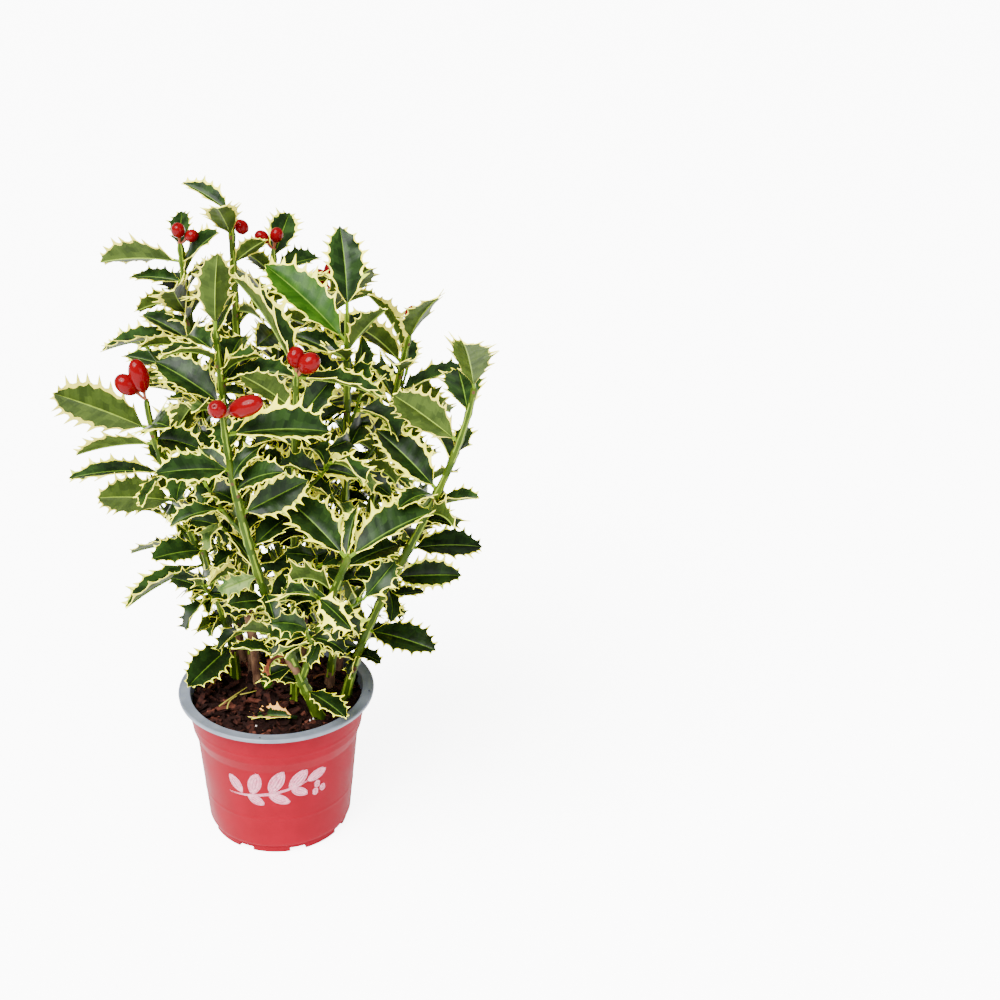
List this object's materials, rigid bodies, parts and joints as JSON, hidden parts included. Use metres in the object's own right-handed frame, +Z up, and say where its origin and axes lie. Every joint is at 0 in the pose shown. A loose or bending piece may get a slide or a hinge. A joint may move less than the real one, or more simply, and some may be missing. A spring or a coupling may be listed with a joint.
{
  "type": "potted variegated holly plant",
  "caption": "Young variegated holly with several leafy upright shoots and red berries, standing in a round nursery pot with a wide lip.",
  "frame": {"origin": "centre of the pot's flat underside", "axes": "+Z up along the pot's axis; -Y towards the front, +X to the right seen from the front"},
  "size_m": [0.2637, 0.241, 0.4301],
  "materials": {
    "pot_plastic": "satin red moulded plastic",
    "lip_plastic": "satin grey moulded plastic",
    "bark_filling": "loose moist bark chips",
    "stem_wood": "green ridged bark, tan and woody at the foot",
    "leaves": "glossy dark green with cream edges",
    "berries": "glossy red skin"
  },
  "bodies": {
    "root": {"pot": "pot_plastic", "lip": "lip_plastic", "soil": "bark_filling", "stem_left": "stem_wood", "stem_front": "stem_wood", "stem_right": "stem_wood", "stem_tall": "stem_wood", "stem_middle": "stem_wood", "stem_rear_left": "stem_wood", "stem_rear": "stem_wood", "stem_inner_right": "stem_wood", "stem_inner_front": "stem_wood", "stem_rear_right": "stem_wood", "stem_back": "stem_wood", "stem_back_left": "stem_wood", "stem_fork_right": "stem_wood", "stem_fork_left": "stem_wood", "stem_fork_back": "stem_wood", "foliage_left": "leaves", "foliage_front": "leaves", "foliage_right": "leaves", "foliage_tall": "leaves", "foliage_middle": "leaves", "foliage_rear_left": "leaves", "foliage_rear": "leaves", "foliage_inner_right": "leaves", "foliage_inner_front": "leaves", "foliage_rear_right": "leaves", "foliage_back": "leaves", "foliage_back_left": "leaves", "foliage_fork_right": "leaves", "foliage_fork_left": "leaves", "foliage_fork_back": "leaves"}
  },
  "joints": []
}
